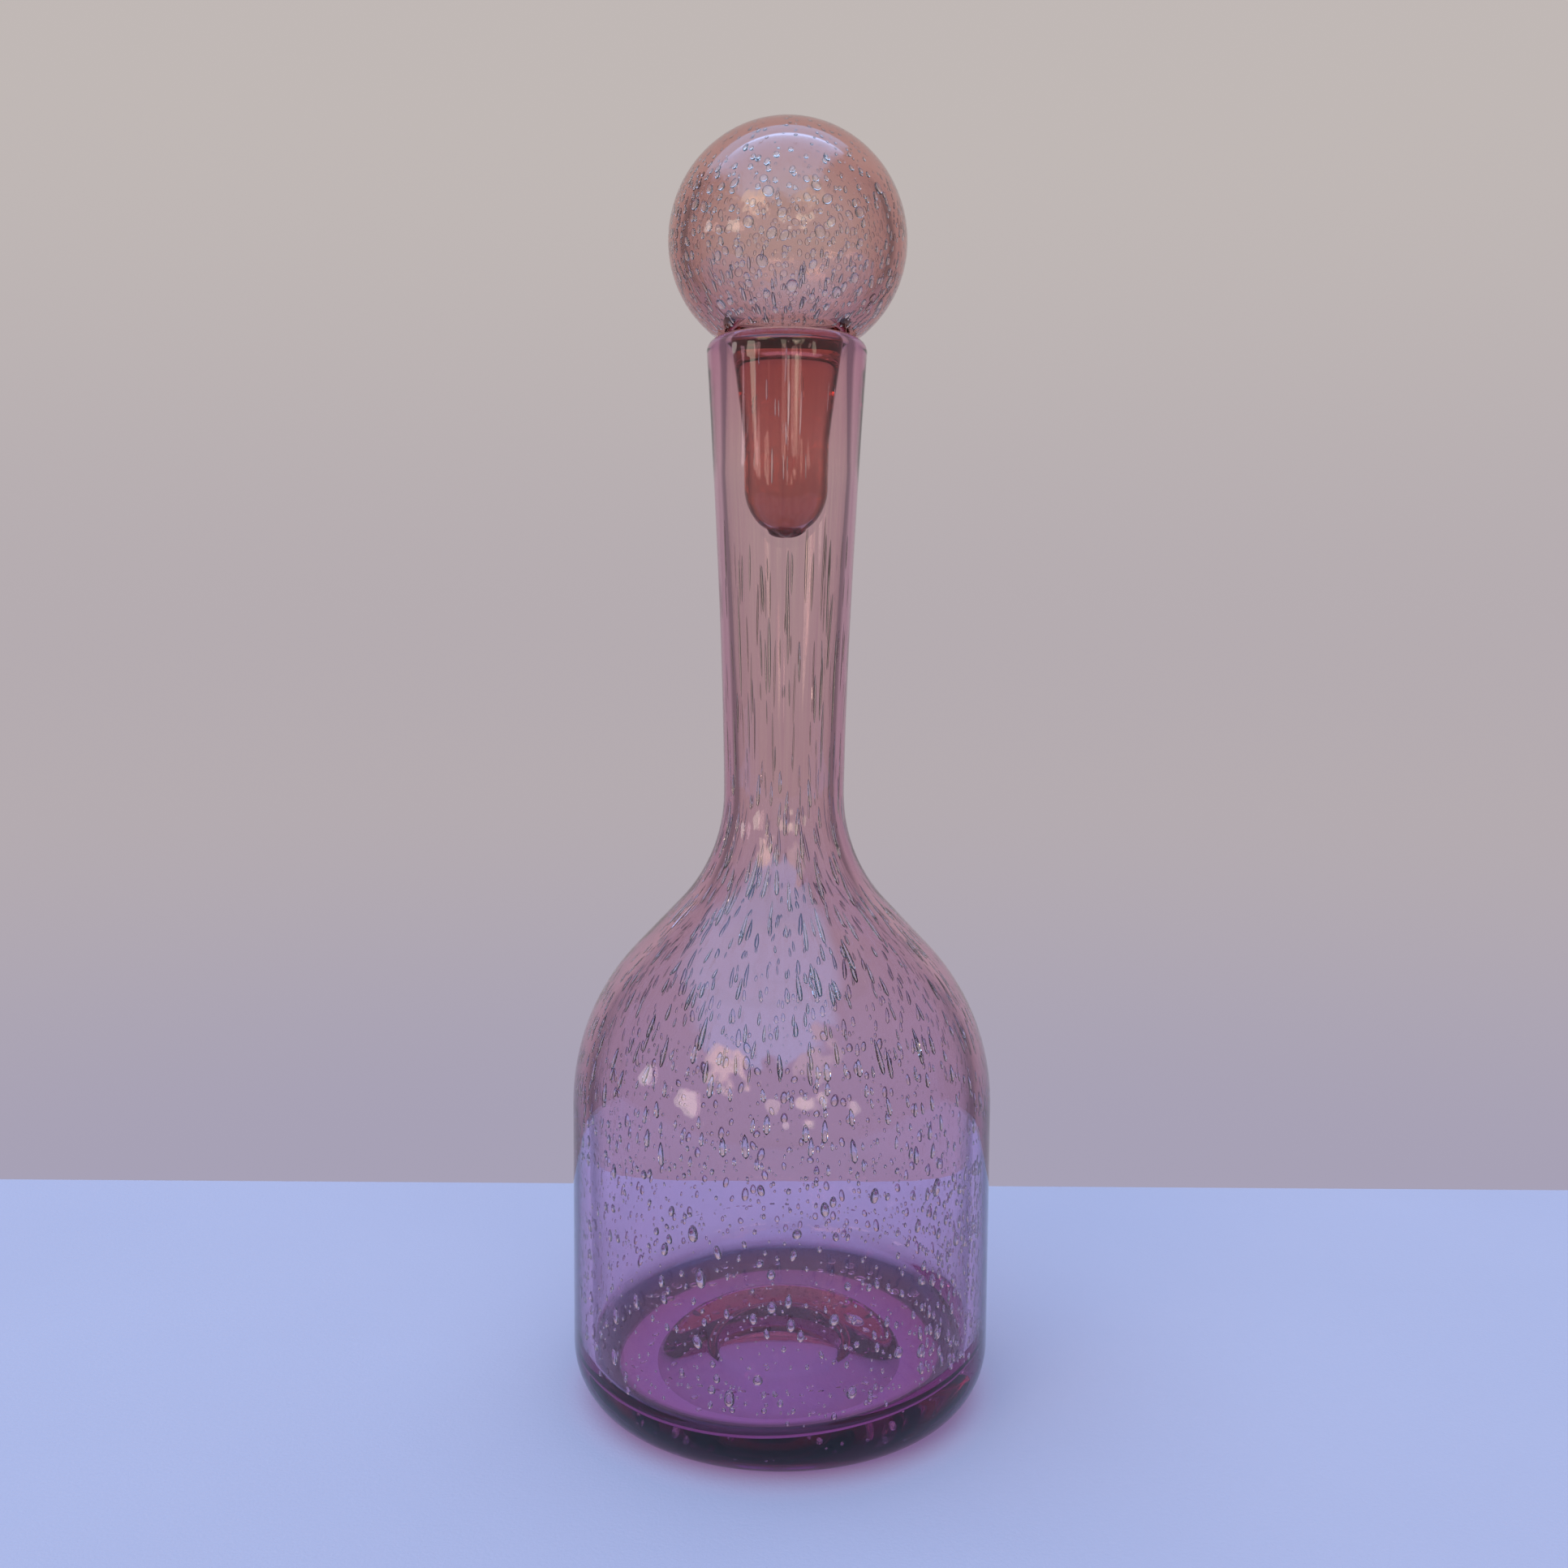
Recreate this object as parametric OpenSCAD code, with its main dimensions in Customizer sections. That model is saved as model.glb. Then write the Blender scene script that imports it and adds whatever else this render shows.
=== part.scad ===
// Hand-blown bubble-glass decanter: a thick glass bottle and its lift-out ball stopper.
// Millimetres, +Z up. The origin is the centre of the foot, on the surface that the bottle stands on.

/* [Foot and base] */
// Outer radius of the flat ring that the bottle stands on
foot_r = 51.5; // [46:0.5:54]
// Width of that flat ring
foot_w = 13.5; // [8:0.5:18]
// Height of the rounded heel between the foot and the body wall
heel_h = 18; // [12:0.5:24]
// Rise of the hollow pushed up under the base
kick_h = 8.5; // [4:0.1:10]
// How softly that hollow runs out to the foot: 1 meets it at an angle
kick_power = 1.5; // [1:0.1:2.5]
// Radius of the ground and polished pontil mark in the middle of the hollow
pontil_r = 20; // [12:0.5:26]
// Depth of the pontil mark
pontil_depth = 1.8; // [0.4:0.1:2.5]
// Height of the domed glass floor inside, at its centre
floor_z = 22.5; // [18:0.5:26]
// How far the floor falls from its centre to its edge
floor_drop = 6; // [0:0.5:8]
// Radius with which the floor turns up into the inner wall
floor_turn = 9; // [4:0.5:14]

/* [Body and shoulder] */
// Outer radius of the body just above the heel
body_r = 65.6; // [62:0.1:70]
// Outer radius of the body where the shoulder starts, a little less
shoulder_r = 65.3; // [62:0.1:70]
// Height at which the shoulder starts to curve in
shoulder_z = 94; // [70:1:130]
// Radius of the shoulder's outward curve
shoulder_round = 70; // [60:1:85]
// Slope of the cone between shoulder and throat, from the vertical
shoulder_slope = 43.5; // [36:0.5:50]
// Thickness of the glass in the shoulder and the throat
wall = 4.6; // [3.8:0.1:6]
// Thickness of the glass low in the body, where it has run down
wall_low = 5.4; // [4:0.1:7]

/* [Neck and lip] */
// Radius of the throat's inward curve, on the outside
throat_round = 49; // [35:1:60]
// Outer radius of the neck at its narrowest
neck_r = 18.5; // [17:0.1:21]
// Height of the lip's flat top
lip_z = 327; // [290:1:360]
// Outer radius of the lip
lip_r = 24; // [23:0.1:26]
// How late the neck flares out towards the lip: 1 is a straight cone
flare_power = 1.5; // [1:0.1:3]
// Radius of the lip's outer corner
lip_round = 4; // [2:0.1:4.5]
// Thickness of the glass at the top of the neck, below the collar
neck_wall = 3.8; // [3:0.1:5]
// Height of the collar inside the lip, where the bore narrows to the mouth
collar_h = 11; // [7:0.5:20]
// Radius of the mouth
mouth_r = 17; // [16:0.1:18]
// Radius of the mouth's rounded edge
mouth_round = 1.3; // [0.6:0.1:1.8]

/* [Stopper] */
// Gap between the lip's flat top and the seat under the ball
seat_gap = 0.2; // [0.1:0.05:0.5]
// Radius of the ball
ball_r = 35.5; // [30:0.5:42]
// Depth of the ball's lower half, were it whole: less than the radius is flatter
ball_drop = 33.9; // [31:0.1:36]
// Radius of the flat seat under the ball
seat_r = 20.9; // [18:0.1:23]
// Radius of the small corner round the seat
seat_round = 0.8; // [0.3:0.1:1.5]
// Thickness of the ball's blown wall
ball_wall = 5.4; // [4.2:0.1:7]
// Thickness of the glass between the ball's hollow and the seat
ball_floor = 2.8; // [2:0.1:8]
// Squareness of the hollow's lower half: 2 is an ellipse, and more is squarer
ball_square = 2.8; // [2:0.1:3.4]
// Gap between the peg and the bore at the mouth
peg_gap = 0.6; // [0.3:0.05:1.5]
// Height of the peg's flare, which centres the stopper in the mouth
flare_h = 18; // [8:0.5:28]
// Radius of the peg just below its flare
peg_r = 12.9; // [10:0.1:13.5]
// Taper of the peg below its flare, for each side
peg_taper = 1; // [0:0.1:2.5]
// Length of the peg's side, from the seat to its rounded end
peg_l = 43.7; // [32:0.1:70]
// Height of the peg's rounded end
peg_end_h = 14.6; // [8:0.1:20]
// Radius of the rough nub left where the peg was cracked off
nub_r = 5.8; // [3:0.1:8]
// How far the nub stands out of the peg's end
nub_h = 1; // [0.5:0.1:4]

/* [Trapped bubbles] */
// Radius of the largest bubbles in the body and the shoulder, in the middle of the wall
bubble_r = 1.5; // [0.6:0.1:1.7]
// Bubbles in each row round the body and the shoulder
bubble_count = 14; // [6:1:20]
// Distance between those rows, along the wall
bubble_pitch = 13; // [10:0.5:20]
// Radius of the largest bubbles in the base
base_bubble_r = 2.4; // [1:0.1:3]
// Bubbles in the row under the edge of the floor
base_bubble_count = 12; // [6:1:16]
// Radius of that row
base_ring_r = 45; // [38:0.5:47]
// Width of the band that it strays over
base_ring_w = 14; // [4:1:16]
// Radius of the air threads that the neck's bubbles are drawn out into
thread_r = 0.6; // [0.3:0.05:0.9]
// Length of an air thread
thread_l = 26; // [10:1:34]
// Air threads in each of the neck's tiers
thread_count = 5; // [3:1:8]
// Radius of the largest bubbles in the ball, in the middle of its wall
ball_bubble_r = 1.6; // [0.6:0.1:1.8]
// Bubbles in the widest row round the ball
ball_bubble_count = 12; // [6:1:16]
// Angle between the ball's rows
ball_row_step = 24; // [18:1:40]
// How far bubbles stray from even rows, as a share of the space between them
scatter = 0.32; // [0:0.02:0.34]
// How much smaller than the largest a bubble can be, as a share of its radius
size_spread = 0.55; // [0:0.05:0.7]
// Number that picks one scatter of bubbles: each bottle is blown by hand, so no two are the same
scatter_seed = 40; // [20:1:99]

/* [Hidden] */

$fn = 144;
arc_step = 5; // degrees between the points of an arc
blend_steps = 10; // points along each blended curve
bubble_fn = 24;
thread_gap = 6; // height left between the neck's tiers of threads
axis_r = 0; // radius of the points on the axis
flare_steps = 12; // points along the neck's flare and the peg's
peg_flare_power = 2; // the peg's flare is a parabola
heel_w = body_r - foot_r;
kick_r = foot_r - foot_w;
body_in_r = body_r - wall_low;
floor_r = body_in_r - floor_turn; // where the floor's dome ends
floor_edge_z = floor_z - floor_drop;

// The throat's outer curve is centred outside the neck, and the cone from the shoulder runs into it.
shoulder_x = shoulder_r - shoulder_round;
throat_x = neck_r + throat_round;
slope_in = 1 - cos(shoulder_slope);
cone_drop = shoulder_r - neck_r - (shoulder_round + throat_round) * slope_in;
cone_rise = cone_drop / tan(shoulder_slope);
throat_z = shoulder_z + (shoulder_round + throat_round) * sin(shoulder_slope) + cone_rise;
collar_z = lip_z - collar_h;
shoulder_arc = (shoulder_round - wall / 2) * shoulder_slope * PI / 180;

// The ball sits on the lip, and its centre follows from the radius of its seat.
seat_z = lip_z + seat_gap;
ball_z = seat_z + ball_drop * sqrt(1 - pow(seat_r / ball_r, 2));
hollow_r = ball_r - ball_wall;
hollow_drop = ball_z - seat_z - ball_floor;
peg_top_r = mouth_r - peg_gap;
peg_end_r = peg_r - (peg_l - flare_h) * tan(peg_taper);
peg_end_z = seat_z - peg_l;
nub_z = peg_end_z - peg_end_h - nub_h;
nub_round = 0.3 * nub_r; // radius of the nub's melted edge

glass = [0.62, 0.42, 0.62, 0.55];
dark_glass = [0.55, 0.3, 0.36, 0.7];

// Points along a curve round [x, z] with half-widths a and b, from angle t0 to t1.
// A power of 2 gives an ellipse or a circle, and a higher one a squarer curve.
function curve(x, z, a, b, t0, t1, power = 2) =
    let (steps = ceil(abs(t1 - t0) / arc_step))
    [for (i = [0:steps])
        let (t = t0 + (t1 - t0) * i / steps)
        [x + a * sign(cos(t)) * pow(abs(cos(t)), 2 / power),
         z + b * sign(sin(t)) * pow(abs(sin(t)), 2 / power)]];

// A plain arc of radius r
function arc(x, z, r, t0, t1) = curve(x, z, r, r, t0, t1);

// Outer radius of the neck at height z, above the throat
function neck_at(z) =
    neck_r + (lip_r - neck_r) * pow((z - throat_z) / (lip_z - lip_round - throat_z), flare_power);

// Radius of the bore at height z, between the throat and the collar, as the wall thins upwards
function bore_at(z) = neck_at(z) - wall + (wall - neck_wall) * (z - throat_z) / (collar_z - throat_z);

// Lean of the middle of the neck's wall at height z
function neck_lean(z) = atan((neck_at(z + 1) + bore_at(z + 1) - neck_at(z - 1) - bore_at(z - 1)) / 4);

// Height of the hollow under the base at radius r
function kick_at(r) = kick_h * pow(1 - pow(r / kick_r, 2), kick_power);

// A smooth step from 0 to 1, as k goes from 0 to 1
function blend(k) = (1 - cos(180 * k)) / 2;

// Under the base, from the axis out to the foot: the pontil mark, then the hollow round it
function underside() = concat(
    [for (i = [0:blend_steps])
        let (r = pontil_r * i / blend_steps)
        [r, kick_at(r) + pontil_depth]],
    [for (i = [0:blend_steps])
        let (r = pontil_r + (kick_r - pontil_r) * i / blend_steps)
        [r, kick_at(r)]]
);

// Outside of the bottle, from the foot up to the mouth
function outside() = concat(
    curve(foot_r, heel_h, heel_w, heel_h, -90, 0),
    arc(shoulder_x, shoulder_z, shoulder_round, 0, shoulder_slope),
    arc(throat_x, throat_z, throat_round, 180 + shoulder_slope, 180),
    [for (i = [1:flare_steps - 1])
        let (z = throat_z + (lip_z - lip_round - throat_z) * i / flare_steps)
        [neck_at(z), z]],
    arc(lip_r - lip_round, lip_z - lip_round, lip_round, 0, 90),
    arc(mouth_r + mouth_round, lip_z - mouth_round, mouth_round, 90, 180)
);

// Inside of the bottle, from the collar below the mouth down to the middle of the floor
function inside() = concat(
    [for (i = [blend_steps - 1:-1:0])
        let (k = i / blend_steps)
        [bore_at(collar_z) + (mouth_r - bore_at(collar_z)) * blend(k),
         collar_z + (collar_h - mouth_round) * k]],
    [for (i = [flare_steps - 1:-1:1])
        let (z = throat_z + (collar_z - throat_z) * i / flare_steps)
        [bore_at(z), z]],
    arc(throat_x, throat_z, throat_round + wall, 180, 180 + shoulder_slope),
    arc(shoulder_x, shoulder_z, shoulder_round - wall, shoulder_slope, 0),
    arc(floor_r, floor_edge_z + floor_turn, floor_turn, 0, -90),
    [for (i = [blend_steps - 1:-1:0])
        let (k = i / blend_steps)
        [floor_r * k, floor_z - floor_drop * blend(k)]]
);

// The tapered peg, from the middle of its nub up to the seat under the ball
function peg_side() = concat(
    [[axis_r, nub_z]],
    arc(nub_r - nub_round, nub_z + nub_round, nub_round, -90, 0),
    curve(axis_r, peg_end_z, peg_end_r, peg_end_h, -acos(nub_r / peg_end_r), 0),
    [for (i = [0:flare_steps])
        let (share = i / flare_steps)
        [peg_r + (peg_top_r - peg_r) * pow(share, peg_flare_power), seat_z - flare_h * (1 - share)]]
);

// Outside of the ball, from its seat up to its top
function ball_side() = concat(
    arc(seat_r - seat_round, seat_z + seat_round, seat_round, -90, -45),
    curve(axis_r, ball_z, ball_r, ball_drop, -acos(seat_r / ball_r) + arc_step, 0),
    arc(axis_r, ball_z, ball_r, arc_step, 90)
);

// Point in the middle of the wall, at distance s up from the start of the shoulder, or below it if negative
function mid_wall(s) =
    let (r = shoulder_round - wall / 2, a = max(0, s) / r * 180 / PI)
    [shoulder_x + r * cos(a), shoulder_z + min(0, s) + r * sin(a)];

// Distance from the ball's centre to the skin of its hollow, at angle a above its widest line
function hollow_at(a) =
    pow(pow(cos(a) / hollow_r, ball_square) + pow(abs(sin(a)) / hollow_drop, ball_square),
        -1 / ball_square);

// Point in the middle of the ball's wall, at that angle
function mid_ball(a) =
    let (r = (ball_r + (a < 0 ? hollow_at(a) : hollow_r)) / 2)
    [r * cos(a), ball_z + r * sin(a)];

// Point in the middle of the base, at radius x
function mid_base(x) = [x, (floor_edge_z + kick_at(min(x, kick_r))) / 2];

// A row of round bubbles about the axis. path(x) is a point of the glass, and the row lies at x.
// Each bubble has its own size and strays from its even place, and odd rows start half a place on.
module bubble_row(path, x, width, count, r, row) {
    stray = rands(-1, 1, 3 * count, scatter_seed + row);
    for (i = [0:count - 1])
        let (point = path(x + width * scatter * stray[i]))
        rotate(360 / count * (i + row / 2 + scatter * stray[count + i]))
            translate([point[0], 0, point[1]])
                sphere(r = r * (1 - size_spread * abs(stray[2 * count + i])), $fn = bubble_fn);
}

// A thread of air with round ends
module air_thread() {
    for (end = [-1, 1])
        translate([0, 0, end * thread_l / 2])
            sphere(r = thread_r, $fn = bubble_fn);
    cylinder(r = thread_r, h = thread_l, center = true, $fn = bubble_fn);
}

// Rows of bubbles up the body wall and round the shoulder
module wall_bubbles() {
    lowest = -floor((shoulder_z - floor_edge_z - floor_turn / 2) / bubble_pitch);
    highest = floor(shoulder_arc / bubble_pitch);
    for (row = [lowest:highest])
        bubble_row(function(s) mid_wall(s), row * bubble_pitch, bubble_pitch, bubble_count, bubble_r, row);
}

// Tiers of air threads up the neck, leaning as the neck flares
module neck_threads() {
    tier_h = thread_l + 4 * thread_r + thread_gap;
    tiers = floor((collar_z - throat_z) / tier_h);
    for (tier = [0:tiers - 1])
        let (stray = rands(-1, 1, 2 * thread_count, scatter_seed + tier))
        for (i = [0:thread_count - 1])
            let (z = throat_z + tier_h * (tier + 0.5) + thread_gap * scatter * stray[i])
            rotate(360 / thread_count * (i + tier / 2 + scatter * stray[thread_count + i]))
                translate([(neck_at(z) + bore_at(z)) / 2, 0, z])
                    rotate([0, neck_lean(z), 0])
                        air_thread();
}

// Rows of bubbles round the ball, fewer in the smaller rows
module ball_bubbles() {
    for (row = [-1:floor(90 / ball_row_step) - 1])
        let (a = row * ball_row_step)
        bubble_row(function(t) mid_ball(t), a, ball_row_step, round(ball_bubble_count * cos(a)),
                   ball_bubble_r, row);
}

// The bottle: one vessel blown in a single piece, with a heavy base and air trapped in its wall
module bottle() {
    color(glass)
        difference() {
            rotate_extrude()
                polygon(concat(underside(), outside(), inside()));
            wall_bubbles();
            neck_threads();
            bubble_row(function(x) mid_base(x), base_ring_r, base_ring_w, base_bubble_count,
                       base_bubble_r, 0);
        }
}

// The stopper: a hollow blown ball on a solid tapered peg, in one piece
module stopper() {
    color(dark_glass)
        difference() {
            rotate_extrude()
                polygon(concat(peg_side(), ball_side()));
            rotate_extrude()
                polygon(concat(
                    curve(axis_r, ball_z, hollow_r, hollow_drop, -90, 0, ball_square),
                    arc(axis_r, ball_z, hollow_r, arc_step, 90)
                ));
            ball_bubbles();
        }
}

bottle();
stopper();
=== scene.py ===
"""Looks for the bubble-glass decanter: blown glass with its trapped bubbles, a pale table and soft light."""

import math

import bpy
import numpy as np
from mathutils import Matrix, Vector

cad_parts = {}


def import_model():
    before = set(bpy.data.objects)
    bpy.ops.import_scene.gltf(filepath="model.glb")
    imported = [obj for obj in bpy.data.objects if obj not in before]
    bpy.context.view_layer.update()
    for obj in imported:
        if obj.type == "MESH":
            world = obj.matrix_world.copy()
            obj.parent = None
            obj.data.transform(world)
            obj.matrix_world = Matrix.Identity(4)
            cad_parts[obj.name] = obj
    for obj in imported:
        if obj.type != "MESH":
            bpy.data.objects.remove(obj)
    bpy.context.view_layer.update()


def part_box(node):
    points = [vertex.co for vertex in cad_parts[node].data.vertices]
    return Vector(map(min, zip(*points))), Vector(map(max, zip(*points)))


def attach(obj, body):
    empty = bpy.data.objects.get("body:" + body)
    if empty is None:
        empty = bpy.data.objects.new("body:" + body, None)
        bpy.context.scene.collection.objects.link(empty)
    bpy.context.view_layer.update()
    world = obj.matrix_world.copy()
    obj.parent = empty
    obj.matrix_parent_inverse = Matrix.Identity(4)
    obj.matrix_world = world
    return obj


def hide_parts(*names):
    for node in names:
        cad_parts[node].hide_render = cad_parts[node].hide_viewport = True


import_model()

MM = 0.001  # metres in a millimetre

# ---------------------------------------------------------------------------------------------
# Sizes, in millimetres and degrees. The overall ones come from the frame, and the rest shape
# the glass.
# ---------------------------------------------------------------------------------------------
bottle_high = np.array(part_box("bottle")[1]) / MM
stopper_high = np.array(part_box("stopper")[1]) / MM

# the base of the bottle, from the foot up to the domed floor inside
BODY_R = bottle_high[0]
FOOT_R = 51.5
FOOT_W = 13.5  # the flat ring that it stands on
HEEL_H = 18
KICK_R = FOOT_R - FOOT_W  # the hollow under the base
KICK_H = 8.5
KICK_POWER = 1.5
PONTIL_R = 20
PONTIL_DEPTH = 1.8
PONTIL_STEP = 0.6  # width of the step round the mark
FLOOR_Z = 22.5
FLOOR_DROP = 6
FLOOR_TURN = 9
FLOOR_FADE_Z = 46  # above this height the wall is even again
FLOOR_TILT = (0.045, 0.08)  # rise of the floor per millimetre to the right and to the back

# its body, shoulder and neck
WALL = 4.6
WALL_LOW = 5.4  # near the floor
BODY_IN_R = BODY_R - WALL_LOW
WALL_START_Z = HEEL_H + 4  # the bubbles of the wall start here
SHOULDER_R = BODY_R - 0.3  # the body narrows a little on the way up
SHOULDER_Z = 94
SHOULDER_ROUND = 70
SHOULDER_SLOPE = 43.5
THROAT_ROUND = 49
NECK_R = 18.5
NECK_WALL = 3.4  # under the collar, which narrows the bore to the mouth
NECK_FLARE_POWER = 1.5
LIP_Z = bottle_high[2]
LIP_R = 24
LIP_ROUND = 4
COLLAR_H = 40
MOUTH_R = 18.3
MOUTH_ROUND = 1.3

# the stopper: its ball, its seat on the lip, its peg and the nub at the peg's end
BALL_R = stopper_high[0]
BALL_DROP = 33.9  # half-height of the ellipse that its lower half follows
BALL_Z = stopper_high[2] - BALL_R
BALL_WALL = 5.4
BALL_FLOOR = 0.8  # glass left between the hollow and the seat
HOLLOW_R = BALL_R - BALL_WALL
BALL_ANGLES = (-52, 86)  # elevations that bubbles lie between
SEAT_GAP = 0.2
SEAT_Z = LIP_Z + SEAT_GAP
SEAT_R = 20.9
SEAT_ROUND = 0.8
PEG_GAP = 1.2
PEG_TOP_R = MOUTH_R - PEG_GAP
PEG_R = 12.9
PEG_FLARE_H = 30
PEG_FLARE_POWER = 1.1
PEG_TAPER = 1
PEG_L = 43.7
PEG_END_H = 14.6
PEG_END_Z = SEAT_Z - PEG_L
PEG_END_R = PEG_R - (PEG_L - PEG_FLARE_H) * math.tan(math.radians(PEG_TAPER))
NUB_R = 5.8
NUB_H = 1
CHIP_H = 2.5  # the height over which the nub is rough
THREAD_R = (PEG_R - 0.4, 5.0)  # threads in the peg lie between these radii
THREAD_TOP = SEAT_Z - 3

# fineness
TURNS = 128  # facets round the axis
ARC_STEP = 3  # degrees between the points of an arc
NECK_POINTS = 30
NECK_PATH_POINTS = 40
COLLAR_POINTS = 10
FLOOR_POINTS = 26
PONTIL_POINTS = 11
KICK_POINTS = 12
FLARE_POINTS = 10
PATH_POINTS = 60  # along a path between two sides of the glass
AXIS_R = 1e-6  # a point nearer than this lies on the axis


# ---------------------------------------------------------------------------------------------
# Outlines, as [radius, height] points
# ---------------------------------------------------------------------------------------------
def cosd(a):
    return math.cos(math.radians(a))


def sind(a):
    return math.sin(math.radians(a))


SHOULDER_X = SHOULDER_R - SHOULDER_ROUND
THROAT_X = NECK_R + THROAT_ROUND
CONE_DROP = SHOULDER_R - NECK_R - (SHOULDER_ROUND + THROAT_ROUND) * (1 - cosd(SHOULDER_SLOPE))
CONE_RISE = CONE_DROP / math.tan(math.radians(SHOULDER_SLOPE))
THROAT_Z = SHOULDER_Z + (SHOULDER_ROUND + THROAT_ROUND) * sind(SHOULDER_SLOPE) + CONE_RISE
FLARE_TOP = LIP_Z - LIP_ROUND
COLLAR_Z = LIP_Z - COLLAR_H
FLOOR_EDGE_R = BODY_IN_R - FLOOR_TURN


def curve(x, z, a, b, t0, t1, step=ARC_STEP):
    """Points on an ellipse round (x, z) with the half-sizes a and b."""
    t = np.radians(np.linspace(t0, t1, max(2, math.ceil(abs(t1 - t0) / step) + 1)))
    c, s = np.cos(t), np.sin(t)
    # an exact 0 puts a point on the axis
    c[abs(c) < 1e-9] = 0
    s[abs(s) < 1e-9] = 0
    return np.column_stack([x + a * c, z + b * s])


def arc(x, z, r, t0, t1, step=ARC_STEP):
    return curve(x, z, r, r, t0, t1, step)


def line(p, q, gap):
    """Points between two points, without the two themselves."""
    n = max(1, round(math.dist(p, q) / gap))
    return np.array([np.array(p) + (np.array(q) - np.array(p)) * i / n for i in range(1, n)]).reshape(-1, 2)


def join(*runs):
    """One outline from several, with no point twice."""
    points = [p for run in runs for p in run]
    keep = [points[0]] + [q for p, q in zip(points, points[1:]) if math.dist(p, q) > 1e-4]
    return np.array(keep)


def resample(points, count):
    """The same run of points, evenly spaced."""
    steps = np.linalg.norm(np.diff(points, axis=0), axis=1)
    along = np.concatenate([[0], np.cumsum(steps)])
    at = np.linspace(0, along[-1], count)
    return np.column_stack([np.interp(at, along, points[:, k]) for k in (0, 1)])


def neck_at(z):
    return NECK_R + (LIP_R - NECK_R) * ((z - THROAT_Z) / (FLARE_TOP - THROAT_Z)) ** NECK_FLARE_POWER


def bore_at(z):
    """Radius of the bore, which follows the outside up to the collar and narrows to the mouth there."""
    below = min(z, COLLAR_Z)
    thin = (WALL - NECK_WALL) * (below - THROAT_Z) / (COLLAR_Z - THROAT_Z)
    bore = neck_at(below) - WALL + thin
    if z > COLLAR_Z:
        share = (z - COLLAR_Z) / (COLLAR_H - MOUTH_ROUND)
        bore += (MOUTH_R - bore) * (1 - cosd(180 * share)) / 2
    return bore


def floor_at(r):
    """Height of the domed glass floor inside."""
    return FLOOR_Z - FLOOR_DROP * (1 - cosd(180 * r / FLOOR_EDGE_R)) / 2


def kick_at(r):
    """Height of the hollow under the base."""
    return KICK_H * (1 - (r / KICK_R) ** 2) ** KICK_POWER


def floor_outline():
    """The floor inside, from the wall in to the axis."""
    return join(
        arc(FLOOR_EDGE_R, FLOOR_Z - FLOOR_DROP + FLOOR_TURN, FLOOR_TURN, 0, -90, step=6),
        [(r, floor_at(r)) for r in np.linspace(FLOOR_EDGE_R, 0, FLOOR_POINTS)],
    )


def kick_outline():
    """The hollow under the base, from the axis out to the foot, with the pontil mark in its middle."""
    return join(
        [(r, kick_at(r) + PONTIL_DEPTH) for r in np.linspace(0, PONTIL_R, PONTIL_POINTS)],
        [(r, kick_at(r)) for r in np.linspace(PONTIL_R + PONTIL_STEP, KICK_R, KICK_POINTS)],
    )


def heel_outline(gap):
    """The foot and the heel, from the kick out to the body."""
    return join(
        line((KICK_R, 0), (FOOT_R, 0), gap),
        curve(FOOT_R, HEEL_H, BODY_R - FOOT_R, HEEL_H, -90, 0),
    )


def bottle_outline():
    neck_z = np.linspace(THROAT_Z, FLARE_TOP, NECK_POINTS)
    return join(
        kick_outline(),
        heel_outline(gap=2),
        line((BODY_R, HEEL_H), (SHOULDER_R, SHOULDER_Z), gap=5),
        arc(SHOULDER_X, SHOULDER_Z, SHOULDER_ROUND, 0, SHOULDER_SLOPE),
        arc(THROAT_X, THROAT_Z, THROAT_ROUND, 180 + SHOULDER_SLOPE, 180),
        [(neck_at(z), z) for z in neck_z],
        arc(LIP_R - LIP_ROUND, FLARE_TOP, LIP_ROUND, 0, 90, step=9),
        arc(MOUTH_R + MOUTH_ROUND, LIP_Z - MOUTH_ROUND, MOUTH_ROUND, 90, 180, step=15),
        [(bore_at(z), z) for z in np.linspace(LIP_Z - MOUTH_ROUND, COLLAR_Z, COLLAR_POINTS)],
        [(bore_at(z), z) for z in neck_z[::-1] if z < COLLAR_Z - 1],
        arc(THROAT_X, THROAT_Z, THROAT_ROUND + WALL, 180, 180 + SHOULDER_SLOPE),
        arc(SHOULDER_X, SHOULDER_Z, SHOULDER_ROUND - WALL, SHOULDER_SLOPE, 0),
        line((SHOULDER_R - WALL, SHOULDER_Z), (BODY_IN_R, FLOOR_Z - FLOOR_DROP + FLOOR_TURN), gap=5),
        floor_outline(),
    )


def stopper_outline():
    nub_z = PEG_END_Z - PEG_END_H - NUB_H
    nub_t = math.acos(NUB_R / PEG_END_R)
    nub_h = PEG_END_H * (1 - math.sin(nub_t)) + NUB_H
    seat_t = math.degrees(math.acos(SEAT_R / BALL_R))
    shares = np.linspace(0, 1, FLARE_POINTS)
    wider = PEG_TOP_R - PEG_R
    return join(
        curve(0, nub_z + nub_h, NUB_R, nub_h, -90, 0, step=10)[:-1],
        curve(0, PEG_END_Z, PEG_END_R, PEG_END_H, -math.degrees(nub_t), 0, step=5),
        line((PEG_END_R, PEG_END_Z), (PEG_R, SEAT_Z - PEG_FLARE_H), gap=3),
        [(PEG_R + wider * k**PEG_FLARE_POWER, SEAT_Z - PEG_FLARE_H * (1 - k)) for k in shares],
        line((PEG_TOP_R, SEAT_Z), (SEAT_R - SEAT_ROUND, SEAT_Z), gap=2),
        arc(SEAT_R - SEAT_ROUND, SEAT_Z + SEAT_ROUND, SEAT_ROUND, -90, -45, step=15),
        curve(0, BALL_Z, BALL_R, BALL_DROP, -seat_t + ARC_STEP, 0),
        arc(0, BALL_Z, BALL_R, ARC_STEP, 90),
    )


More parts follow.
